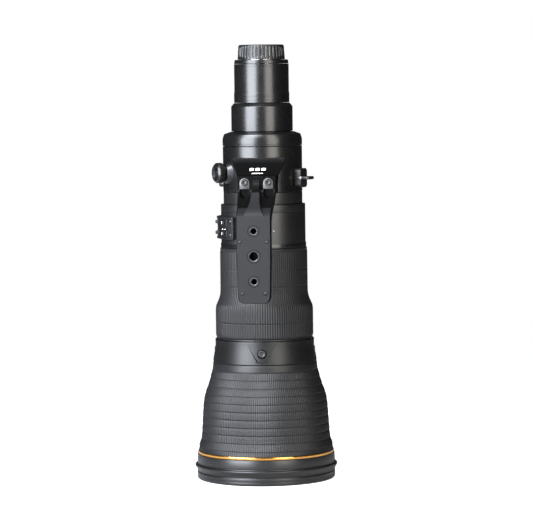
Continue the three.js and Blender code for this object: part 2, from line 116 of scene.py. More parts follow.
class Nodes:
    """A material's node tree, with short calls for the nodes that the finishes below use."""

    def __init__(self, name, color, roughness, metallic=0.0, **sockets):
        self.material = bpy.data.materials.new(name)
        self.material.use_nodes = True
        self.tree = self.material.node_tree
        self.shader = self.tree.nodes["Principled BSDF"]
        self.set("Base Color", (*color, 1))
        self.set("Roughness", roughness)
        self.set("Metallic", metallic)
        for socket, value in sockets.items():
            self.set(socket.replace("_", " "), value)

    def set(self, socket, value):
        self.shader.inputs[socket].default_value = value

    def link(self, output, target):
        self.tree.links.new(output, target)

    def node(self, kind, **settings):
        made = self.tree.nodes.new("ShaderNode" + kind)
        for name, value in settings.items():
            setattr(made, name, value)
        return made

    def place(self, stretch=(1, 1, 1)):
        """Object coordinates in metres, scaled along each axis."""
        coordinates = self.node("TexCoord")
        mapping = self.node("Mapping")
        mapping.inputs["Scale"].default_value = stretch
        self.link(coordinates.outputs["Object"], mapping.inputs["Vector"])
        return mapping.outputs["Vector"]

    def noise(self, scale, detail=3.0, stretch=(1, 1, 1), roughness=0.55):
        noise = self.node("TexNoise")
        noise.inputs["Scale"].default_value = scale
        noise.inputs["Detail"].default_value = detail
        noise.inputs["Roughness"].default_value = roughness
        self.link(self.place(stretch), noise.inputs["Vector"])
        return noise.outputs["Fac"]

    def ramp(self, factor, dark, light, start=0.3, end=0.7):
        """Colours or values from dark to light as the factor goes from start to end."""
        ramp = self.node("ValToRGB")
        for element, position, value in zip(ramp.color_ramp.elements, (start, end), (dark, light)):
            element.position = position
            element.color = (*value, 1) if hasattr(value, "__len__") else (value, value, value, 1)
        self.link(factor, ramp.inputs["Fac"])
        return ramp.outputs["Color"]

    def times(self, a, b):
        mix = self.node("Mix", data_type="RGBA", blend_type="MULTIPLY")
        mix.inputs["Factor"].default_value = 1
        self.link(a, mix.inputs["A"])
        self.link(b, mix.inputs["B"])
        return mix.outputs["Result"]

    def color(self, output):
        self.link(output, self.shader.inputs["Base Color"])

    def roughness(self, output):
        self.link(output, self.shader.inputs["Roughness"])

    def bump(self, height, strength, distance):
        """Adds a relief on top of any that is there already."""
        bump = self.node("Bump")
        bump.inputs["Strength"].default_value = strength
        bump.inputs["Distance"].default_value = distance
        self.link(height, bump.inputs["Height"])
        normal = self.shader.inputs["Normal"]
        if normal.links:
            self.link(normal.links[0].from_socket, bump.inputs["Normal"])
        self.link(bump.outputs["Normal"], normal)


def satin_black(name, tone, roughness, **sockets):
    """Black paint with a fine grain, faint clouding in its gloss and a little dust in its colour."""
    made = Nodes(name, (tone, tone, tone), roughness, **sockets)
    made.color(made.ramp(made.noise(24, 4), tone * 0.8, (tone * 1.25, tone * 1.22, tone * 1.22)))
    made.roughness(made.ramp(made.noise(60, 5), roughness - 0.015, roughness + 0.015))
    made.bump(made.noise(2600, 2), 0.12, 0.05 * MM)
    return made.material


def moulded_plastic():
    tone = 0.005
    made = Nodes("moulded_black_plastic", (tone, tone, tone), 0.38)
    made.color(made.ramp(made.noise(90, 3), tone * 0.8, tone * 1.3))
    made.roughness(made.ramp(made.noise(140, 4), 0.33, 0.43))
    made.bump(made.noise(1500, 3), 0.25, 0.05 * MM)
    return made.material


def grip_rubber(name, roughness, specular):
    """Dark grey rubber: dusty in patches, with a fine pitted skin."""
    made = Nodes(name, (0.008, 0.008, 0.0084), roughness, Specular_IOR_Level=specular)
    patches = made.ramp(made.noise(9, 5), (0.0068, 0.0068, 0.0072), (0.0092, 0.0092, 0.0097))
    specks = made.ramp(made.noise(900, 2), 0.86, 1.0)
    made.color(made.times(patches, specks))
    made.roughness(made.ramp(made.noise(30, 4), roughness - 0.04, roughness + 0.04))
    made.bump(made.noise(1800, 3), 0.3, 0.06 * MM)
    return made.material


def foot_coating():
    """Fine-grained grey-black coating, a little speckled."""
    made = Nodes("grained_foot_coating", (0.008, 0.008, 0.0087), 0.55, Specular_IOR_Level=0.2)
    grain = made.noise(1400, 3, roughness=0.7)
    made.color(made.ramp(grain, (0.0055, 0.0055, 0.006), (0.011, 0.011, 0.0119), 0.35, 0.68))
    made.roughness(made.ramp(made.noise(55, 4), 0.5, 0.6))
    made.bump(grain, 0.4, 0.05 * MM)
    return made.material


def gold_anodised():
    """Polished gold anodising, turned, so its brushing runs round the ring."""
    made = Nodes("gold_anodised", (0.9, 0.45, 0.1), 0.2, 1.0)
    turning = made.noise(1, 2, stretch=(8, 8, 9000))
    made.color(made.ramp(made.noise(30, 3), (0.78, 0.36, 0.07), (0.9, 0.46, 0.12)))
    made.roughness(made.ramp(turning, 0.14, 0.26))
    made.bump(turning, 0.15, 0.02 * MM)
    return made.material


def machined_steel(name, tone, roughness):
    made = Nodes(name, (tone, tone, tone), roughness, 1.0)
    made.color(made.ramp(made.noise(300, 3), tone * 0.8, tone * 1.1))
    made.roughness(made.ramp(made.noise(1, 3, stretch=(200, 200, 6000)), roughness - 0.08, roughness + 0.1))
    made.bump(made.noise(2200, 2), 0.1, 0.02 * MM)
    return made.material


def contact_gold():
    made = Nodes("contact_gold", (0.85, 0.6, 0.25), 0.25, 1.0)
    made.roughness(made.ramp(made.noise(800, 3), 0.2, 0.35))
    return made.material


def coated_glass():
    """Lens glass with a thin greenish-violet coating that shows at a slant."""
    made = Nodes("coated_glass", (0.75, 0.9, 0.85), 0.02, 0.0, Transmission_Weight=1.0, IOR=1.52, Alpha=1.0)
    slant = made.node("LayerWeight")
    slant.inputs["Blend"].default_value = 0.3
    made.color(made.ramp(slant.outputs["Facing"], (0.8, 0.95, 0.9), (0.55, 0.45, 0.8), 0.1, 0.9))
    made.roughness(made.ramp(made.noise(40, 3), 0.01, 0.03))
    return made.material


def circuit_green():
    made = Nodes("circuit_green", (0.02, 0.12, 0.05), 0.4)
    grid = made.node("TexBrick")
    grid.inputs["Scale"].default_value = 240
    grid.inputs["Color1"].default_value = (0.02, 0.11, 0.045, 1)
    grid.inputs["Color2"].default_value = (0.025, 0.14, 0.06, 1)
    grid.inputs["Mortar"].default_value = (0.35, 0.28, 0.1, 1)
    made.link(made.place(), grid.inputs["Vector"])
    made.color(grid.outputs["Color"])
    return made.material


def marking_paint():
    """Off-white filled markings."""
    made = Nodes("marking_paint", (0.75, 0.75, 0.74), 0.5)
    made.color(made.ramp(made.noise(700, 3), (0.66, 0.66, 0.65), (0.82, 0.82, 0.8)))
    return made.material


BLACK = satin_black("satin_black_paint", 0.0035, 0.27)
BLACK_ROUGH = satin_black("matt_black_paint", 0.004, 0.4)
FRONT_BLACK = satin_black("front_ring_paint", 0.006, 0.33)
BAND_BLACK = satin_black("function_band_paint", 0.003, 0.4, Specular_IOR_Level=0.36)
# A darker, barely reflective copy of the black paint: painted shade for the upward-facing boss, the foot's arms
# and rib, and the bush bores.
SHADED_BLACK = satin_black("shaded_black_paint", 0.0015, 0.33, Specular_IOR_Level=0.07)
PLASTIC = moulded_plastic()
RUBBER = grip_rubber("ribbed_rubber", 0.5, 0.3)
FRONT_RUBBER = grip_rubber("front_ribbed_rubber", 0.43, 0.32)
COATING = foot_coating()
GOLD = gold_anodised()
STEEL = machined_steel("machined_steel", 0.32, 0.34)
DARK_STEEL = machined_steel("blackened_steel", 0.12, 0.34)
TAB_STEEL = machined_steel("tab_steel", 0.085, 0.46)
BOLT_STEEL = machined_steel("blackened_bolt", 0.05, 0.4)
CHROME = machined_steel("plated_chrome", 0.75, 0.14)
CONTACT = contact_gold()
GLASS = coated_glass()
CIRCUIT = circuit_green()
MARKING = marking_paint()

FINISH = {
    "black_metal": BLACK,
    "black_plastic": PLASTIC,
    "grip_rubber": RUBBER,
    "foot_grey": COATING,
    "gold_trim": GOLD,
    "bare_steel": STEEL,
    "mount_chrome": CHROME,
    "contact_brass": CONTACT,
    "optical_glass": GLASS,
    "circuit_green": CIRCUIT,
}

# ---------------------------------------------------------------- outlines


def cad_outline(node, bearing=0):
    """A round CAD node's cross-section on one bearing, as (radius, height) points in order round it."""
    a = math.radians(bearing)
    right = Vector((math.cos(a), -math.sin(a)))
    out = Vector((-math.sin(a), -math.cos(a)))
    tolerance = 2e-6

    def flat(vertex):
        spot = Vector((vertex.co.x, vertex.co.y - AXIS_Y))
        on_plane = abs(spot.dot(right)) < tolerance and spot.dot(out) > -tolerance
        return (round(spot.dot(out), 6), round(vertex.co.z, 6)) if on_plane else None

    mesh = NODES[node].data
    near = {}
    for edge in mesh.edges:
        ends = [flat(mesh.vertices[i]) for i in edge.vertices]
        if None in ends or ends[0] == ends[1]:
            continue
        near.setdefault(ends[0], set()).add(ends[1])
        near.setdefault(ends[1], set()).add(ends[0])
    tips = sorted((p for p in near if len(near[p]) == 1), key=lambda p: p[1])
    spot = tips[0] if tips else min(near)
    outline = [spot]
    while True:
        following = [p for p in sorted(near[spot]) if p not in outline]
        if not following:
            break
        spot = following[0]
        outline.append(spot)
    area = sum(a[0] * b[1] - b[0] * a[1] for a, b in zip(outline, outline[1:] + outline[:1]))
    return outline if area > 0 else outline[::-1]


def is_open(outline):
    """True for an outline that starts and ends on the axis."""
    return outline[0][0] < 1e-6 and outline[-1][0] < 1e-6


def rounded(outline, radius=0.35 * MM, steps=3, soft=5 * MM):
    """Rounds an outline's corners: by the radius at an edge, by the soft one where it only bends a little."""
    made = []
    count = len(outline)
    for i, corner in enumerate(outline):
        here = Vector(corner)
        if is_open(outline) and i in (0, count - 1):
            made.append(tuple(here))
            continue
        back = Vector(outline[i - 1]) - here
        ahead = Vector(outline[(i + 1) % count]) - here
        turn = math.pi - back.angle(ahead)
        size = min(soft if turn < math.radians(32) else radius, 0.46 * back.length, 0.46 * ahead.length)
        start = here + back.normalized() * size
        end = here + ahead.normalized() * size
        for k in range(steps + 1):
            t = k / steps
            made.append(tuple(start * (1 - t) ** 2 + here * 2 * t * (1 - t) + end * t ** 2))
    return made


def grooved(outline, heights, width=0.5 * MM, depth=0.35 * MM):
    """Cuts square grooves into an outline's outer wall, round the given heights."""
    for height in heights:
        spots = []
        for i, (r, z) in enumerate(outline):
            next_r, next_z = outline[(i + 1) % len(outline)]
            if z < height - width / 2 and next_z > height + width / 2:
                share = (height - z) / (next_z - z)
                spots.append((r + (next_r - r) * share, i))
        radius, i = max(spots)
        notch = [(radius, height - width / 2), (radius - depth, height - width / 2),
                 (radius - depth, height + width / 2), (radius, height + width / 2)]
        outline = outline[:i + 1] + notch + outline[i + 1:]
    return outline


def outer_radius(outline, height):
    """The outline's largest radius at a height."""
    found = []
    for (r, z), (next_r, next_z) in zip(outline, outline[1:] + outline[:1]):
        if min(z, next_z) - 1e-7 <= height <= max(z, next_z) + 1e-7 and abs(next_z - z) > 1e-7:
            found.append(r + (next_r - r) * (height - z) / (next_z - z))
    return max(found)


def smooth_radius(outline, height, bottom, top, window=4 * MM):
    """The outer radius, averaged over a window of heights so that the wall has no kinks."""
    reach = min(window, height - bottom, top - height)
    samples = [height + reach * k / 4 for k in range(-4, 5)]
    return sum(outer_radius(outline, z) for z in samples) / len(samples)


def mm(points):
    """An outline given in millimetres, in metres."""
    return [(x * MM, y * MM) for x, y in points]


def rectangle(width, height, x=0, y=0):
    """A rectangle's outline round a middle point."""
    right, left, top, bottom = x + width / 2, x - width / 2, y + height / 2, y - height / 2
    return [(right, top), (left, top), (left, bottom), (right, bottom)]


# ---------------------------------------------------------------- meshes


def linked(name, data):
    made = bpy.data.objects.new(name, data)
    bpy.context.scene.collection.objects.link(made)
    return made


def piece(name, vertices, faces, material, place=None, sharp=32):
    """A mesh object with smooth faces that meet in a crease where they turn by more than the sharp angle."""
    mesh = bpy.data.meshes.new(name)
    mesh.from_pydata([tuple(v) for v in vertices], [], [tuple(f) for f in faces])
    mesh.materials.append(material)
    if place is not None:
        mesh.transform(place)
    return smooth(linked(name, mesh), sharp)


def smooth(made, sharp=32):
    made.data.shade_smooth()
    made.data.set_sharp_from_angle(angle=math.radians(sharp))
    return made


def lathe(name, outline, material, sides=192, ripple=None, place=AXIS, sharp=32):
    """Turns an outline about Z. ripple(angles, radii, heights) says how far each point moves outwards."""
    angles = np.arange(sides) * 2 * math.pi / sides - math.pi / 2
    rings = outline[1:-1] if is_open(outline) else outline
    radii = np.array([p[0] for p in rings])
    heights = np.array([p[1] for p in rings])
    turn, radius = np.meshgrid(angles, radii, indexing="ij")
    height = np.broadcast_to(heights, radius.shape)
    if ripple is not None:
        radius = radius + ripple(turn, radius, height)
    points = np.stack([radius * np.cos(turn), radius * np.sin(turn), height], axis=-1).reshape(-1, 3)
    count = len(rings)
    faces = []
    last = count - 1 if is_open(outline) else count
    for s in range(sides):
        here, there = s * count, (s + 1) % sides * count
        for i in range(last):
            j = (i + 1) % count
            faces.append((here + i, there + i, there + j, here + j))
    vertices = points.tolist()
    if is_open(outline):
        ends = (len(vertices), len(vertices) + 1)
        vertices += [(0, 0, outline[0][1]), (0, 0, outline[-1][1])]
        for s in range(sides):
            here, there = s * count, (s + 1) % sides * count
            faces.append((here, ends[0], there))
            faces.append((there + count - 1, ends[1], here + count - 1))
    return piece(name, vertices, faces, material, place, sharp)


def prism(name, outline, depth_from, depth_to, material, place=None, sharp=32):
    """A straight-sided block: an outline of (x, y) pushed along Z."""
    area = sum(a[0] * b[1] - b[0] * a[1] for a, b in zip(outline, outline[1:] + outline[:1]))
    points = outline if area > 0 else outline[::-1]
    count = len(points)
    vertices = [(x, y, depth_from) for x, y in points] + [(x, y, depth_to) for x, y in points]
    faces = [tuple(range(count))[::-1], tuple(range(count, 2 * count))]
    faces += [(i, (i + 1) % count, count + (i + 1) % count, count + i) for i in range(count)]
    return piece(name, vertices, faces, material, place, sharp)


def rod(name, radius, depth_from, depth_to, material, place=None, sides=48, edge=0.2 * MM):
    """A round bar along Z with its rims rounded."""
    outline = [(0, depth_from), (radius, depth_from), (radius, depth_to), (0, depth_to)]
    return lathe(name, rounded(outline, edge), material, sides, place=place)


def settled(made):
    """The same object, with its modifiers written into its mesh."""
    graph = bpy.context.evaluated_depsgraph_get()
    mesh = bpy.data.meshes.new_from_object(made.evaluated_get(graph))
    made.modifiers.clear()
    made.data = mesh
    return made


def combine(made, others, operation):
    """Joins, cuts or intersects a mesh with others, which are used up."""
    for other in others:
        change = made.modifiers.new("combine", "BOOLEAN")
        change.operation = operation
        change.solver = "EXACT"
        change.object = other
    smooth(settled(made))
    for other in others:
        bpy.data.objects.remove(other)
    return made


def bevelled(made, width, segments=3, angle=35):
    """Rounds a mesh's edges."""
    change = made.modifiers.new("bevel", "BEVEL")
    change.width = width
    change.segments = segments
    change.limit_method = "ANGLE"
    change.angle_limit = math.radians(angle)
    return smooth(settled(made))


def even(made):
    """Lets the large flat faces set the shading of the rounded edges beside them."""
    change = made.modifiers.new("even", "WEIGHTED_NORMAL")
    change.keep_sharp = True
    change.weight = 90
    return settled(made)


def together(name, parts):
    """Several meshes as one object, without joining their surfaces."""
    mesh = bpy.data.meshes.new(name)
    whole = bmesh.new()
    slots = []
    for part in parts:
        before = len(whole.faces)
        whole.from_mesh(part.data)
        whole.faces.ensure_lookup_table()
        indices = []
        for material in part.data.materials:
            if material not in slots:
                slots.append(material)
            indices.append(slots.index(material))
        for face in whole.faces[before:]:
            face.material_index = indices[face.material_index]
        bpy.data.objects.remove(part)
    whole.to_mesh(mesh)
    whole.free()
    for material in slots:
        mesh.materials.append(material)
    return smooth(linked(name, mesh))


def stand_for(made, node):
    """The piece takes the place and body of a CAD node, and the node is hidden."""
    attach(made, BODY_OF[node])
    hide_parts(node)


def trim(made, node):
    """A small extra piece that goes with a CAD node."""
    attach(made, BODY_OF[node])


def turned_node(node, material, outline=None, sides=192, radius=0.35 * MM, sharp=32):
    """A smooth version of a round CAD node."""
    shape = rounded(outline or cad_outline(node), radius)
    stand_for(lathe(node + "_turned", shape, material, sides, sharp=sharp), node)


# ---------------------------------------------------------------- ribs


def ribs(count, depth, share=0.55):
    """A ripple of straight ribs, each taking a share of its pitch."""
    def ripple(angles, radii, heights):
        wave = np.cos(count * (angles + math.pi / 2))
        return depth * np.clip((wave - math.cos(math.pi * share)) * 2.2, 0, 1)
    return ripple


def between(heights, bottom, top, blend=0.4 * MM):
    """1 inside a span of heights and 0 outside it, with short ramps."""
    return np.clip((heights - bottom) / blend, 0, 1) * np.clip((top - heights) / blend, 0, 1)


RUBBER_SKIN = 1.3 * MM


def rubber_inside(outline, bottom, top):
    """The hidden inner wall of a rubber sleeve, listed downwards."""
    return [(smooth_radius(outline, z, bottom, top) - RUBBER_SKIN, z) for z in np.linspace(top, bottom, 24)]


# ---------------------------------------------------------------- front barrel

GRIP_RIBS = 184
GRIP_BAND = 8.55 * MM
GRIP_FIRST_GROOVE = 45.15 * MM
# How the wall of one band stands out, by the height above the groove under it.
GRIP_STEP = [(0.0, -0.45), (0.3, -0.45), (0.6, 0.0), (1.1, 0.12), (2.6, 0.08), (5.4, -0.03), (8.2, -0.2)]


def front_grip():
    outline = cad_outline("front_grip")
    bottom, top = low("front_grip").z, high("front_grip").z
    grooves = [GRIP_FIRST_GROOVE + GRIP_BAND * k for k in range(10)]
    starts = [grooves[0] - GRIP_BAND] + grooves
    wall = []
    for start in starts:
        for rise, proud in GRIP_STEP:
            height = start + rise * MM
            if bottom + 0.3 * MM < height < top - 0.5 * MM:
                wall.append((smooth_radius(outline, height, bottom, top) + (proud + 0.1) * MM, height))
    last = outer_radius(outline, top)
    made = [(outer_radius(outline, bottom), bottom)] + wall + [(last, top - 0.6 * MM), (last - 0.5 * MM, top)]
    made += rubber_inside(outline, bottom, top)
    smooth_top = grooves[-1] + 0.2 * MM
    rib = ribs(GRIP_RIBS, 0.34 * MM)

    def ripple(angles, radii, heights):
        outside = np.array([1.0] * (len(wall) + 1) + [0.0] * (len(made) - len(wall) - 1))
        return rib(angles, radii, heights) * outside * between(heights, bottom + 1.5 * MM, smooth_top)

    stand_for(lathe("front_grip_rubber", made, FRONT_RUBBER, GRIP_RIBS * 6, ripple, sharp=60), "front_grip")


def front_barrel():
    rim = grooved(cad_outline("front_rim"), [4.2 * MM], 0.35 * MM, 0.25 * MM)
    turned_node("front_rim", FRONT_BLACK, rim, sides=256, radius=0.6 * MM)
    turned_node("front_barrel", FRONT_BLACK, sides=256)
    turned_node("gold_ring", GOLD, sides=256, radius=0.7 * MM)
    front_grip()
    for node in ("front_glass", "front_element_1", "front_element_2"):
        turned_node(node, GLASS, sides=128, radius=0.3 * MM, sharp=50)


# ---------------------------------------------------------------- function band

BUTTONS = [f"function_button_{k + 1}" for k in range(4)]


def bearing_of(node):
    """The bearing of a node's middle, in degrees."""
    spot = middle(node)
    return math.degrees(math.atan2(-spot.x, AXIS_Y - spot.y))


def reach_of(node):
    """How near to and how far from the axis a node reaches, along its own bearing."""
    a = math.radians(bearing_of(node))
    out = Vector((-math.sin(a), -math.cos(a)))
    reaches = [Vector((v.co.x, v.co.y - AXIS_Y)).dot(out) for v in NODES[node].data.vertices]
    return min(reaches), max(reaches)


def facing(node):
    """The outward frame at a node's own bearing and height."""
    return outward(bearing_of(node), 0, middle(node).z)


def sloped_pocket(outline, place):
    """A cutter for a pocket whose side walls lean: narrower inside, and wider outside, than the outline."""
    inner, outer = 50 * MM, 64 * MM
    tool = prism("pocket", outline, inner, outer, BAND_BLACK)
    for vertex in tool.data.vertices:
        x, y, z = vertex.co
        spread = -3 * MM if z < (inner + outer) / 2 else 6 * MM
        if abs(x) > 3 * MM:
            vertex.co.x += spread if x > 0 else -spread
        if y < 0:
            vertex.co.y -= spread / 2
    tool.data.transform(place)
    return tool


def function_band():
    outline = rounded(cad_outline("function_band", 45), 0.5 * MM)
    band = lathe("function_band_turned", outline, BAND_BLACK, 256)
    height = middle(BUTTONS[0]).z
    floor = mm([(0, 120), (56.4, 120), (55.9, 136), (55, 149), (54.7, 170), (0, 170)])
    top, bottom, half_width, toe = 10.9, -9.4, 17.6, 4.4
    vee = mm([(half_width, top), (-half_width, top), (-toe, bottom + 2.0), (-toe * 0.55, bottom + 0.5),
              (0, bottom), (toe * 0.55, bottom + 0.5), (toe, bottom + 2.0)])
    pockets, wells = [], []
    for node in BUTTONS:
        place = outward(bearing_of(node), 0, height)
        pockets.append(combine(sloped_pocket(vee, place), [lathe("core", floor, BAND_BLACK)], "DIFFERENCE"))
        wells.append(rod("well", 5.3 * MM, 50 * MM, 64 * MM, BAND_BLACK, place))
    combine(band, pockets, "DIFFERENCE")
    combine(band, wells, "DIFFERENCE")
    bevelled(band, 0.3 * MM, 2, 28)
    stand_for(even(band), "function_band")

    for node in BUTTONS:
        near, far = reach_of(node)
        radius = half_height(node)
        cap = [(0, near), (radius, near), (radius, far - 0.9 * MM), (radius - 0.7 * MM, far - 0.15 * MM),
               (radius * 0.6, far - 0.1 * MM), (radius * 0.45, far - 0.45 * MM), (0, far - 0.6 * MM)]
        stand_for(lathe(node + "_cap", rounded(cap, 0.3 * MM), PLASTIC, 64, place=facing(node)), node)


# ---------------------------------------------------------------- focusing ring

FOCUS_RIBS = 124
FOCUS_LINES = [175.4 * MM, 215.7 * MM, 234.8 * MM]
BROAD_RIBS_END = 195 * MM


def focus_ring():
    turned_node("focus_sleeve", BLACK_ROUGH)
    outline = cad_outline("focus_grip")
    bottom, top = low("focus_grip").z, high("focus_grip").z
    lines = FOCUS_LINES + [top - 3.2 * MM]
    heights = set(np.linspace(bottom + 0.8 * MM, top - 0.8 * MM, 60).tolist())
    for line in lines:
        heights = {z for z in heights if abs(z - line) > 0.8 * MM}
        heights |= {line + d * MM for d in (-0.5, -0.25, 0.25, 0.5)}
    wall = []
    for z in sorted(heights):
        dip = 0.22 * MM if any(abs(z - line) < 0.3 * MM for line in lines) else 0
        wall.append((smooth_radius(outline, z, bottom, top, 3 * MM) - 0.1 * MM - dip, z))
    ends = [(outer_radius(outline, z) - 0.6 * MM, z) for z in (bottom, top)]
    made = ends[:1] + wall + ends[1:] + rubber_inside(outline, bottom, top)
    broad = ribs(FOCUS_RIBS, 0.5 * MM)
    fine = ribs(FOCUS_RIBS, 0.24 * MM)

    def ripple(angles, radii, heights):
        outside = np.array([0.0] + [1.0] * len(wall) + [0.0] * (len(made) - len(wall) - 1))
        lower = between(heights, bottom + 1.0 * MM, BROAD_RIBS_END)
        upper = between(heights, BROAD_RIBS_END, top - 3.4 * MM)
        return outside * (broad(angles, radii, heights) * lower + fine(angles, radii, heights) * upper)

    stand_for(lathe("focus_grip_rubber", made, RUBBER, FOCUS_RIBS * 8, ripple, sharp=60), "focus_grip")


# ---------------------------------------------------------------- main barrel and switch panel

SWITCHES = ("focus_mode_switch", "focus_limit_switch", "stabiliser_switch", "function_select_switch")


def curved(made, radius):
    """Wraps a flat layout round the optical axis: X is a length round it, Y a height and Z a reach."""
    for vertex in made.data.vertices:
        x, y, z = vertex.co
        angle = x / radius
        vertex.co = Vector((z * math.sin(angle), AXIS_Y - z * math.cos(angle), y))
    return made


def main_barrel():
    outline = grooved(cad_outline("main_barrel"), [298.2 * MM], 0.45 * MM, 0.4 * MM)
    barrel = lathe("main_barrel_turned", rounded(outline, 0.45 * MM), BLACK_ROUGH, 256)
    margin = 0.4 * MM
    window = "distance_window"
    opening = rectangle(2 * (high(window).x + margin), 2 * (half_height(window) + margin), 0, middle(window).z)
    combine(barrel, [prism("cutter", opening, 38 * MM, 55 * MM, BLACK, outward(180))], "DIFFERENCE")
    stand_for(barrel, "main_barrel")

    seat = mm([(46.6, 258.7), (47.5, 258.7), (47.5, 263.2), (46.6, 263.2)])
    trim(lathe("focus_seat_ring", rounded(seat, 0.2 * MM), BLACK), "main_barrel")
    turned_node("distance_scale", PLASTIC)
    scale_radius = high("distance_scale").x + 0.05 * MM
    marks = []
    for k in range(40):
        tall = 5 * MM if k % 5 == 0 else 2.4 * MM
        mark = rectangle(0.35 * MM, tall, (k * 6.2 + 0.175) * MM, middle("distance_scale").z + tall / 2)
        marks.append(prism("mark", mark, scale_radius - 0.2 * MM, scale_radius, MARKING))
    trim(curved(together("distance_ticks", marks), scale_radius), "distance_scale")

    dot = rod("index_dot", 0.6 * MM, 46.5 * MM, 46.95 * MM, MARKING, outward(-20, 0, 278 * MM), 24, 0.05 * MM)
    trim(dot, "main_barrel")


def layout_box(name, x, y, width, height, near, far, material, edge=0.3 * MM):
    """A flat block for the panel's layout, with rounded edges and enough columns to bend smoothly."""
    columns = max(1, int(width / (1.2 * MM)))
    xs = np.linspace(x - width / 2, x + width / 2, columns + 1)
    outline = [(v, y - height / 2) for v in xs] + [(v, y + height / 2) for v in xs[::-1]]
    made = prism(name, outline, near, far, material)
    flat = bmesh.new()
    flat.from_mesh(made.data)
    for face in list(flat.faces):
        if len(face.verts) > 4:
            top_row = sorted((v for v in face.verts if v.co.y > y), key=lambda v: v.co.x)
            bottom_row = sorted((v for v in face.verts if v.co.y < y), key=lambda v: v.co.x)
            flip = face.normal.z < 0
            flat.faces.remove(face)
            for k in range(columns):
                corners = [bottom_row[k], bottom_row[k + 1], top_row[k + 1], top_row[k]]
                flat.faces.new(corners[::-1] if flip else corners)
    flat.to_mesh(made.data)
    flat.free()
    if edge:
        bevelled(made, edge, 3, 40)
    return made


def panel_x(bearing, radius):
    """Where a bearing lies in the flat layout, whose X runs towards +X at the foot's side."""
    return -math.radians(bearing) * radius


def switch_panel():
    near, far = 47.3 * MM, reach_of("switch_panel")[1]
    bearings = [math.degrees(math.atan2(-v.co.x, AXIS_Y - v.co.y)) for v in NODES["switch_panel"].data.vertices]
    start, end = min(bearings), max(bearings)
    bottom, centre_y = low("switch_panel").z, middle("switch_panel").z
    centre_x, width = panel_x((start + end) / 2, far), math.radians(end - start) * far
    height = 2 * half_height("switch_panel")
    parts = [layout_box("base", centre_x, centre_y, width, height, near, far - 0.9 * MM, PLASTIC, 0.8 * MM)]
    rim = 2.2 * MM
    across, up = (width - rim) / 2 - 0.3 * MM, (height - rim) / 2 - 0.3 * MM
    for x, y, w, h in ((-across, 0, rim, height - 0.8 * MM), (across, 0, rim, height - 0.8 * MM),
                       (0, up, width - 1.0 * MM, rim), (0, -up, width - 1.0 * MM, rim)):
        parts.append(layout_box("rim", centre_x + x, centre_y + y, w, h, near, far, PLASTIC, 0.5 * MM))
    for node in SWITCHES:
        x, y = panel_x(bearing_of(node), far), middle(node).z
        parts.append(layout_box("track", x, y, 13 * MM, 7 * MM, near, far - 0.5 * MM, PLASTIC, 0.4 * MM))
        for side in (-1, 1):
            mark = layout_box("mark", x + side * 2.6 * MM, y + 4.6 * MM, 2.6 * MM, 0.9 * MM,
                              far - 1.2 * MM, far - 0.82 * MM, MARKING, 0)
            parts.append(mark)
    stand_for(curved(together("switch_panel_housing", parts), far), "switch_panel")

    for k, (bearing, share) in enumerate(((start + 6, 0.2), (start + 6, 0.8), (end - 5, 0.2), (end - 5, 0.8))):
        place = outward(bearing, far - 1.0 * MM, bottom + height * share)
        trim(cross_screw(f"panel_screw_{k + 1}", 1.5 * MM, place), "switch_panel")


def cross_screw(name, radius, place, material=DARK_STEEL):
    """A small pan-head screw with a cross recess, its head on the origin and facing out along Z."""
    head = [(0, -0.4 * MM), (radius, -0.4 * MM), (radius, 0.15 * MM), (radius * 0.7, 0.4 * MM), (0, 0.45 * MM)]
    made = lathe(name, rounded(head, 0.12 * MM), material, 32, place=None)
    length, width = radius * 1.2, radius * 0.28
    slots = [prism("slot", rectangle(*size), 0.05 * MM, 1 * MM, BOLT_STEEL)
             for size in ((length, width), (width, length))]
    combine(made, slots, "DIFFERENCE")
    made.data.transform(place)
    return made


def switch_knobs():
    """Slide switches with a grooved thumb piece and a white index line, and the sunk memory button."""
    for node in SWITCHES:
        near, far = reach_of(node)
        height = 2 * half_height(node)
        body = prism("body", rectangle(6 * MM, height), near + 1.5 * MM, far - 0.5 * MM, PLASTIC)
        parts = [bevelled(body, 0.35 * MM)]
        for k in range(-2, 3):
            ridge = rectangle(0.6 * MM, height * 0.84, k * 1.15 * MM)
            bar = prism("bar", ridge, far - 0.7 * MM, far, PLASTIC if k else MARKING)
            parts.append(bevelled(bar, 0.12 * MM, 2))
        made = together(node + "_thumb", parts)
        made.data.transform(facing(node))
        stand_for(made, node)

    node = "memory_button"
    near, far = reach_of(node)
    radius = half_height(node)
    cap = [(0, near), (radius, near), (radius, far - 0.6 * MM), (radius * 0.75, far), (0, far - 0.3 * MM)]
    stand_for(lathe(node + "_cap", rounded(cap, 0.25 * MM), PLASTIC, 48, place=facing(node)), node)


# ---------------------------------------------------------------- tripod collar


def smooth_line(points, steps=8):
    """A smooth curve through a list of 2-D points."""
    made = []
    for i in range(len(points) - 1):
        p0 = Vector(points[max(i - 1, 0)])
        p1, p2 = Vector(points[i]), Vector(points[i + 1])
        p3 = Vector(points[min(i + 2, len(points) - 1)])
        for k in range(steps):
            t = k / steps
            made.append(tuple(0.5 * (2 * p1 + (p2 - p0) * t + (2 * p0 - 5 * p1 + 4 * p2 - p3) * t ** 2
                                     + (3 * p1 - p0 - 3 * p2 + p3) * t ** 3)))
    made.append(tuple(points[-1]))
    return made


def mirrored(right):
    return list(right) + [(-x, z) for x, z in reversed(right)]


def side_prism(name, outline, half_width, material):
    """A block from an outline of (reach, height) in millimetres, seen from the side."""
    place = Matrix(((0, 0, 1, 0), (1, 0, 0, AXIS_Y), (0, 1, 0, 0), (0, 0, 0, 1)))
    return prism(name, mm([(-u, z) for u, z in outline]), -half_width * MM, half_width * MM, material, place)


def front_prism(name, outline, near, far, material):
    """A block from an outline of (x, height) in millimetres, as seen from the foot's side."""
    return prism(name, mm(outline), near * MM, far * MM, material, outward(0))


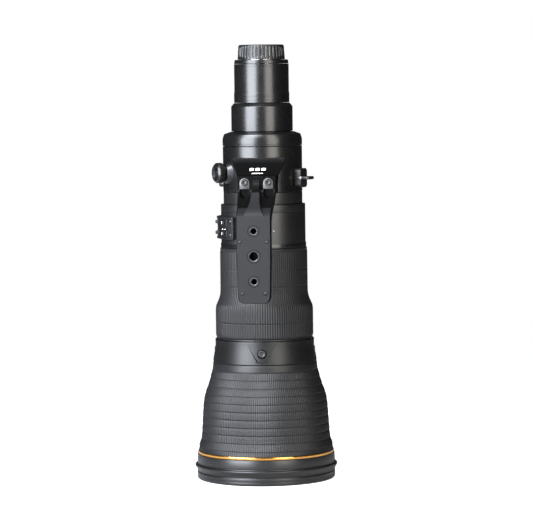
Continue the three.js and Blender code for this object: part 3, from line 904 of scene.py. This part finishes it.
# The upper side of the boss that carries the foot, as (reach, height) in millimetres, from the ring outwards.
BOSS_SLOPE = [(43.8, 358.4), (44.9, 356.4), (47.6, 352.6), (52.2, 347.8), (57, 343.6), (62, 339.6)]


def collar_ring():
    ring_low, ring_high = low("collar_ring").z, high("collar_ring").z
    radius = high("collar_ring").y - AXIS_Y
    bore = 40.95 * MM
    wall = [(radius, ring_low), (radius, ring_high), (bore, ring_high), (bore, ring_low)]
    wall = grooved(wall, [ring_low + 1.6 * MM], 0.4 * MM, 0.3 * MM)
    ring = lathe("collar_ring_turned", rounded(wall, 0.5 * MM), BLACK, 256)

    slope = smooth_line(BOSS_SLOPE, 6)
    side = slope + [(58, 339.4), (58, 320.6), (42, 320.6), (42, 358.4)]
    # The boss takes the darker, barely reflective black: painted shade where its slope faces up.
    boss = side_prism("collar_foot_boss", side, 40, SHADED_BLACK)
    right = smooth_line([(28.4, 358.6), (28, 352), (24.4, 345), (22, 339.6)], 6) + [(21, 328), (21, 320)]
    combine(boss, [front_prism("outline", mirrored(right), 30, 70, BLACK)], "INTERSECT")
    bevelled(boss, 0.9 * MM, 3, 30)

    cone = mm([(0, 38), (16.2, 38), (10.1, 47.4), (0, 47.4)])
    hub = lathe("hub", rounded(cone, 0.7 * MM), BLACK, 96, place=facing("collar_lock_knob"))
    for part in (hub, boss):
        combine(part, [rod("bore", bore, 300 * MM, 380 * MM, BLACK, AXIS, 192)], "DIFFERENCE")
    stand_for(even(together("collar_ring_body", [ring, boss, hub])), "collar_ring")


def marking_bars():
    """Plain bars where the collar would carry its markings, on the slope above the foot."""
    slope = smooth_line(BOSS_SLOPE, 6)
    rows = (("collar_mark_upper", 346.1, (-6.5, 0, 6.5), 4.6, 3.9),
            ("collar_mark_lower", 341.9, (0,), 12.0, 1.2))
    for name, z, spots, width, height in rows:
        (near, above), (far, below) = next((p, q) for p, q in zip(slope, slope[1:]) if p[1] >= z > q[1])
        reach = near + (far - near) * (above - z) / (above - below)
        tilt = Matrix.Rotation(-math.atan2(far - near, above - below), 4, "X")
        blocks = []
        for x in spots:
            outline = rounded(mm(rectangle(width, height, x)), 0.8 * MM, 4)
            blocks.append(prism(name, outline, -0.3 * MM, 0.2 * MM, MARKING))
        made = together(name, blocks)
        made.data.transform(outward(0, reach * MM, z * MM) @ tilt)
        trim(made, "collar_ring")


def lock_knob():
    """A fluted knob with a dished end, seen on the left of the collar."""
    node = "collar_lock_knob"
    near, far = reach_of(node)
    radius = half_height(node)
    waist = near + 2.0 * MM
    rim = far - 1.7 * MM
    cap = [(0, near), (radius - 1.6 * MM, near), (radius - 1.6 * MM, waist),
           (radius - 0.5 * MM, waist + 0.5 * MM)]
    cap += [(radius - 0.5 * MM, waist + (rim - waist) * k / 6) for k in range(1, 7)]
    cap += [(radius - 0.9 * MM, rim + 0.3 * MM), (radius - 2.2 * MM, far), (radius - 3.0 * MM, far),
            (radius - 3.6 * MM, far - 2.0 * MM), (2.6 * MM, far - 2.2 * MM), (2.4 * MM, far - 1.4 * MM),
            (0, far - 1.4 * MM)]
    flutes = ribs(26, 0.5 * MM, 0.6)

    def ripple(angles, radii, heights):
        edge = np.clip((radii - (radius - 1.2 * MM)) / (0.5 * MM), 0, 1)
        return flutes(angles, radii, heights) * edge * between(heights, waist, rim)

    stand_for(lathe(node + "_turned", rounded(cap, 0.25 * MM), BLACK, 26 * 8, ripple, facing(node)), node)


def strap_lug(node):
    """A black block with a ribbed cheek and an eyelet bar."""
    half, tall, corner = 8.0, half_height(node) / MM, 2.4
    block = [(half, tall - corner), (half - corner, tall), (corner - half, tall), (-half, tall - corner)]
    block += [(-x, -y) for x, y in block]
    body = prism("body", mm(block), 43.6 * MM, 52 * MM, BLACK_ROUGH)
    bevelled(body, 0.9 * MM, 3, 30)
    reach = reach_of(node)[1] / MM
    bar = rounded([(7, 46), (7, reach), (-7, reach), (-7, 46)], 3.8, 8)
    hole = rounded([(4.2, 53.1), (4.2, 59.1), (-4.2, 59.1), (-4.2, 53.1)], 1.6, 6)
    level = Matrix(((1, 0, 0, 0), (0, 0, 1, 0), (0, 1, 0, 0), (0, 0, 0, 1)))
    eyelet = prism("eyelet", mm(bar), -1.7 * MM, 1.7 * MM, BLACK_ROUGH)
    combine(eyelet, [prism("hole", mm(hole), -4 * MM, 4 * MM, BLACK_ROUGH)], "DIFFERENCE")
    bevelled(eyelet, 0.6 * MM, 3, 40)
    eyelet.data.transform(level)
    eyelet.data.flip_normals()
    cheek = []
    side = -1 if bearing_of(node) < 0 else 1
    for k in range(8):
        rib = rectangle(1.2, 1.1, side * (half - 0.25), (k - 3.5) * 1.9)
        cheek.append(bevelled(prism("strip", mm(rib), 44.6 * MM, 49.8 * MM, TAB_STEEL), 0.2 * MM, 2))
    tongue = prism("tongue", mm(rectangle(1.8, 2.6, side * (half - 0.2))), 47 * MM, 53 * MM, STEEL)
    cheek.append(bevelled(tongue, 0.3 * MM, 2))
    made = together(node + "_forged", [body, eyelet] + cheek)
    made.data.transform(facing(node))
    stand_for(made, node)


# ---------------------------------------------------------------- tripod foot

FOOT_REACH = AXIS_Y - low("foot_plate").y
FOOT_LOW = low("foot_bracket").z / MM
FOOT_TOP = high("foot_plate").z / MM
SKIN = 1.5
FOOT_BUSHES = {"foot_bush_upper": 3.2, "foot_bush_middle": 4.75, "foot_bush_lower": 3.2}

# The rib that runs down between the bolts: black above its end height, and coated like the face below it.
RIB_SPINE = smooth_line([(72, 335.3), (74, 330.3), (79, 323.9), (87, 316.3), (96, 309.7), (103, 304.9),
                         (107.2, 300.3), (FOOT_REACH / MM, 296.3)], 6)
RIB_BACK = [(98, 299.3), (80, 305.3), (64, 314.3), (64, 335.3)]
RIB_END = 322.0


def foot_frame(node, reach=0.0):
    """A frame that faces out of the foot, at a node's place across it."""
    spot = middle(node)
    return outward(0, reach, spot.z) @ Matrix.Translation((spot.x, 0, 0))


def bush_holes(material):
    """Cutters for the holes that the foot's three bushes sit in."""
    return [rod("hole", half_height(node) + 0.2 * MM, 90 * MM, 112 * MM, material, foot_frame(node), 64)
            for node in FOOT_BUSHES]


def foot_bracket():
    face = FOOT_REACH / MM
    seat = face - SKIN - 0.2
    sweep = smooth_line([(71, 324.9), (72.6, 321.7), (77.4, 315.9), (85, 309.9), (94, 304.7), (102, 300.9),
                         (106.4, 297.1)], 6)
    inner = smooth_line([(95, 287.3), (92.4, 292.9), (86, 298.7), (78, 303.9), (70, 308.1), (64, 312.3),
                         (60, 317.8), (58.3, 321)], 5)
    lower = [(seat, 290), (seat, FOOT_LOW + 2.4), (104, FOOT_LOW), (97, FOOT_LOW), (95, FOOT_LOW + 2)]
    side = [(58.3, 339.1), (71, 339.1), (71, 327.3)] + sweep + lower + inner
    # The bracket takes the darker, barely reflective black: painted shade on its upward-facing arms.
    bracket = side_prism("foot_bracket_cast", side, 40, SHADED_BLACK)
    right = [(20.8, 340.2), (20.6, 328.3), (20.4, 320.3), (19.6, 310.3), (18.9, 302.3), (18.6, 296.3),
             (18.4, 252), (17.7, 218.6)]
    right += rounded_toe(17.7, 11, FOOT_LOW)
    combine(bracket, [front_prism("outline", mirrored(right), 50, 115, BLACK)], "INTERSECT")
    pockets = []
    for sign in (-1, 1):
        scoop = rod("scoop", 5.4 * MM, -6 * MM, 6 * MM, BLACK, None, 48)
        scoop.data.transform(Matrix.Diagonal((1, 1.25, 1, 1)))
        scoop.data.transform(outward(0, 75 * MM, 321.9 * MM) @ Matrix.Translation((sign * 13.1 * MM, 0, 0)))
        pockets.append(scoop)
    combine(bracket, pockets, "DIFFERENCE")
    # The rib's upper end takes the same painted-shade black.
    rib = side_prism("rib", RIB_SPINE + RIB_BACK, 40, SHADED_BLACK)
    crest = [(3.4, 336.3), (3.8, 326.3), (4.1, RIB_END)]
    combine(rib, [front_prism("outline", mirrored(crest), 50, 115, SHADED_BLACK)], "INTERSECT")
    combine(bracket, [rib], "UNION")
    combine(bracket, bush_holes(BLACK), "DIFFERENCE")
    bevelled(bracket, 0.7 * MM, 3, 34)
    stand_for(even(bracket), "foot_bracket")


def rounded_toe(half_top, half_bottom, z_bottom):
    """The right half of the foot's rounded lower end, listed downwards."""
    steps, rise = 8, 7.2
    angles = [math.pi / 2 * k / steps for k in range(1, steps + 1)]
    return [(half_bottom + (half_top - 0.4 - half_bottom) * math.cos(a), z_bottom + rise * (1 - math.sin(a)))
            for a in angles]


def foot_plate():
    """The flat face, the pointed tongue that runs up from it between the bolts, and a shoulder over the arms'
    fillets, in one coating; on the shoulder the grey is a painted highlight.
    """
    face = FOOT_REACH / MM
    right = [(17.9, FOOT_TOP + 1), (17.7, 252), (17.0, 218.6)] + rounded_toe(17.0, 10.6, FOOT_LOW + 0.7)
    slab = front_prism("foot_plate_face", mirrored(right), face - SKIN, face, COATING)

    tongue = side_prism("tongue", RIB_SPINE + [(face - SKIN, 294.3)] + RIB_BACK, 40, COATING)
    gothic = smooth_line([(4.1, RIB_END), (4.5, 318.1), (5.1, 311.8), (7.0, 306.4), (8.8, 302.2), (11.0, 298.2),
                          (14, 296.6)], 5)
    gothic += [(17.9, 296.2), (17.9, 294.3)]
    combine(tongue, [front_prism("outline", mirrored(gothic), 50, 115, COATING)], "INTERSECT")
    # The shoulder carries the grey coating up onto the arms' fillets: painted highlight strips where the
    # fillets catch the light.
    fillet = smooth_line([(93, 305.7), (98.6, 303.2), (103.4, 300.6), (106.6, 297.9), (face, 295.2)], 6)
    highlight_shoulder = side_prism("highlight_shoulder", fillet + [(face - SKIN, 293.5), (101, 299.2), (93, 303.4)], 17.9, COATING)
    combine(slab, [tongue, highlight_shoulder], "UNION")

    holes = bush_holes(COATING)
    for k in range(4):
        holes.append(rod("hole", 2.1 * MM, 90 * MM, 112 * MM, COATING, foot_frame(f"foot_screw_{k + 1}"), 32))
    combine(slab, holes, "DIFFERENCE")
    bevelled(slab, 0.35 * MM, 3, 30)
    stand_for(even(slab), "foot_plate")


def foot_hardware():
    """Threaded bushes, face screws, and the two bolts on their arch-shaped washers."""
    for node, bore in FOOT_BUSHES.items():
        outer = half_height(node)
        face, back = FOOT_REACH - 0.15 * MM, AXIS_Y - high(node).y
        pitch = 1.27 * MM if bore < 4 else 1.59 * MM
        bore *= MM
        outline = [(0, back), (outer, back), (outer, face - 0.6 * MM), (bore + 0.5 * MM, face - 0.8 * MM)]
        for k in range(1, int((face - back) / pitch)):
            z = face - 0.8 * MM - pitch * k * 0.92
            outline += [(bore + 0.55 * MM, z + pitch * 0.5), (bore, z)]
        outline += [(bore + 0.2 * MM, back + 0.9 * MM), (0, back + 0.9 * MM)]
        rim = [(outer, face - 0.7 * MM), (outer, face - 0.3 * MM), (outer - 0.3 * MM, face),
               (bore + 0.9 * MM, face), (bore + 0.9 * MM, face - 0.7 * MM)]
        mouth = [(bore + 0.95 * MM, face - 0.9 * MM), (bore + 0.95 * MM, face - 0.02 * MM),
                 (bore + 0.1 * MM, face - 0.8 * MM)]
        # The bush's threaded body takes the darker, barely reflective black: painted shade inside its bore.
        parts = [lathe("turned", shape, material, 64, place=foot_frame(node), sharp=25)
                 for shape, material in ((outline, SHADED_BLACK), (rim, COATING), (mouth, STEEL))]
        stand_for(together(node + "_threaded", parts), node)

    for k in range(4):
        node = f"foot_screw_{k + 1}"
        place = foot_frame(node, FOOT_REACH - 0.75 * MM)
        stand_for(cross_screw(node + "_head", 1.75 * MM, place, BOLT_STEEL), node)

    for node in ("foot_bolt_left", "foot_bolt_right"):
        near, far = 71.3 * MM, AXIS_Y - low(node).y
        place = foot_frame(node)
        head = [(0, near), (3.6 * MM, near), (3.6 * MM, far - 0.5 * MM), (3.1 * MM, far), (0, far)]
        bolt = lathe(node + "_head", rounded(head, 0.2 * MM), BOLT_STEEL, 48, place=place)
        hexagon = mm([(2 * math.cos(math.pi * k / 3), 2 * math.sin(math.pi * k / 3)) for k in range(6)])
        combine(bolt, [prism("socket", hexagon, far - 1.9 * MM, far + 1 * MM, BOLT_STEEL, place)], "DIFFERENCE")
        bevelled(bolt, 0.12 * MM, 2, 40)
        stand_for(bolt, node)
        arch = [(5.3 * math.cos(math.pi * k / 12), -0.7 + 5.3 * math.sin(math.pi * k / 12)) for k in range(13)]
        arch += [(-5.3, -7.4), (5.3, -7.4)]
        washer = prism(node + "_washer", mm(arch), 71.0 * MM, 71.9 * MM, TAB_STEEL, place)
        bevelled(washer, 0.25 * MM, 2, 40)
        trim(washer, node)


# ---------------------------------------------------------------- rear of the lens

CAP_RIBS = 36


def filter_unit():
    turned = lathe("filter_housing_turned", rounded(cad_outline("filter_housing"), 0.5 * MM), BLACK, 256)
    holder, gap = "filter_holder", 0.3 * MM
    opening = rectangle(2 * (high(holder).x + gap), 2 * (half_height(holder) + gap), 0, middle(holder).z)
    combine(turned, [prism("slot", opening, 0, 60 * MM, BLACK, outward(180))], "DIFFERENCE")
    stand_for(turned, "filter_housing")


def rear_cap():
    outline = cad_outline("rear_cap")
    bottom, top = low("rear_cap").z, high("rear_cap").z
    wall = [(outer_radius(outline, bottom) - 0.2 * MM, bottom)]
    heights = np.linspace(bottom + 0.6 * MM, top - 1.6 * MM, 12)
    wall += [(outer_radius(outline, z) - 0.1 * MM, z) for z in heights]
    wall.append((24.9 * MM, top - 0.7 * MM))
    crown = [(24.2 * MM, top - 0.15 * MM), (23.4 * MM, top), (19 * MM, top - 0.1 * MM),
             (18.6 * MM, top - 0.6 * MM), (0, top - 0.6 * MM)]
    inside = [(0, top - 2.2 * MM), (24.2 * MM, top - 2.2 * MM), (24.4 * MM, bottom)]
    rib_low, rib_high = bottom + 1.6 * MM, top - 1.4 * MM

    def ripple(angles, radii, heights):
        outside = np.array([0.0] * (len(inside) - 1) + [1.0] * len(wall) + [0.0] * (len(crown) - 1))
        wave = np.cos(CAP_RIBS * (angles + math.pi / 2))
        flare = np.clip(1 - (heights - rib_low) / (3.0 * MM), 0, 1)
        groove = np.clip((-wave - 0.1) * 1.6, 0, 1) * (0.85 - 0.5 * flare) * MM
        return -groove * outside * between(heights, rib_low, rib_high, 0.8 * MM)

    made = lathe("rear_cap_moulded", inside + wall + crown, PLASTIC, CAP_RIBS * 10, ripple, sharp=40)
    stand_for(made, "rear_cap")


def rear():
    retainer = grooved(cad_outline("collar_retainer"), [372.6 * MM], 0.4 * MM, 0.3 * MM)
    turned_node("collar_retainer", BLACK, retainer, sides=256, radius=0.5 * MM)
    turned_node("collar_tube", BLACK_ROUGH)
    filter_unit()
    barrel = grooved(cad_outline("rear_barrel"), [421.2 * MM, 425.2 * MM, 458.6 * MM], 0.3 * MM, 0.18 * MM)
    turned_node("rear_barrel", BLACK, barrel, sides=256)
    turned_node("mount_gasket", BLACK, radius=0.4 * MM)
    turned_node("rear_element", GLASS, sides=128, radius=0.2 * MM, sharp=50)
    rear_cap()


# ---------------------------------------------------------------- camera, light and floor


def look(spot, target):
    """A matrix that stands at a spot and looks at a target with the picture upright."""
    direction = Vector(target) - Vector(spot)
    return Matrix.Translation(Vector(spot)) @ direction.to_track_quat("-Z", "Y").to_matrix().to_4x4()


def camera():
    distance, height, aim = 3.024, 0.444, 0.2366
    azimuth, roll = math.radians(5.75), math.radians(-0.72)
    data = bpy.data.cameras.new("view")
    data.sensor_width = 36
    data.lens = 183.6
    data.clip_end = 100
    data.shift_x = 0.005
    made = linked("view", data)
    spot = (distance * math.sin(azimuth), AXIS_Y - distance * math.cos(azimuth), height)
    made.matrix_world = look(spot, (0, AXIS_Y, aim)) @ Matrix.Rotation(roll, 4, "Z")
    bpy.context.scene.camera = made


def softbox(name, bearing, distance, height, width, tall, power, color):
    """A tall area light that faces the lens. Its bearing is seen from the camera's side, towards -X."""
    data = bpy.data.lights.new(name, "AREA")
    data.shape = "RECTANGLE"
    data.size = width
    data.size_y = tall
    data.energy = power
    data.color = color
    made = linked(name, data)
    a = math.radians(bearing)
    spot = (-distance * math.sin(a), AXIS_Y - distance * math.cos(a), height)
    made.matrix_world = look(spot, (0, AXIS_Y, height * 0.8 + 0.05))
    made.visible_camera = False


def world():
    """A pale surround that the camera sees, and a dim one that lights the lens."""
    made = bpy.data.worlds.new("studio")
    bpy.context.scene.world = made
    made.use_nodes = True
    nodes, links = made.node_tree.nodes, made.node_tree.links
    seen = nodes["Background"]
    seen.inputs["Color"].default_value = (1, 1, 1, 1)
    seen.inputs["Strength"].default_value = 1.0
    dim = nodes.new("ShaderNodeBackground")
    dim.inputs["Color"].default_value = (0.9, 0.92, 1, 1)
    dim.inputs["Strength"].default_value = 0.04
    path = nodes.new("ShaderNodeLightPath")
    mix = nodes.new("ShaderNodeMixShader")
    links.new(path.outputs["Is Camera Ray"], mix.inputs["Fac"])
    links.new(dim.outputs["Background"], mix.inputs[1])
    links.new(seen.outputs["Background"], mix.inputs[2])
    links.new(mix.outputs["Shader"], nodes["World Output"].inputs["Surface"])


def studio():
    world()
    bpy.context.scene.view_settings.view_transform = "Standard"
    softbox("key_left", 37, 1.5, 0.75, 1.1, 2.6, 175, (0.88, 0.92, 1.0))
    softbox("fill_right", -35, 1.6, 0.75, 0.85, 2.6, 48, (1.0, 0.98, 0.92))
    softbox("high_front", 22, 1.3, 1.9, 1.0, 0.8, 40, (0.92, 0.95, 1.0))
    softbox("top", 180, 0.05, 2.2, 1.6, 1.6, 4, (1, 1, 1))

    floor_material = Nodes("pale_floor", (0.4, 0.4, 0.4), 0.7)
    floor_material.color(floor_material.ramp(floor_material.noise(3, 2), 0.39, 0.41))
    floor_material.set("Emission Color", (1, 1, 1, 1))
    path = floor_material.node("LightPath")
    floor_material.link(path.outputs["Is Camera Ray"], floor_material.shader.inputs["Emission Strength"])
    floor_material.set("Specular IOR Level", 0)
    sides, radius = 64, 1.3
    turns = [2 * math.pi * k / sides for k in range(sides)]
    rim = [(radius * math.cos(a), radius * math.sin(a), 0) for a in turns]
    floor = piece("floor", rim, [range(sides)], floor_material.material)
    floor.location.z = -0.0002


camera()
studio()
front_barrel()
function_band()
focus_ring()
main_barrel()
switch_panel()
switch_knobs()
collar_ring()
marking_bars()
lock_knob()
strap_lug("strap_lug_right")
strap_lug("strap_lug_left")
foot_bracket()
foot_plate()
foot_hardware()
rear()

for node, made in NODES.items():
    if not made.hide_render:
        made.data.materials.clear()
        made.data.materials.append(FINISH[SLOT_OF[node]])
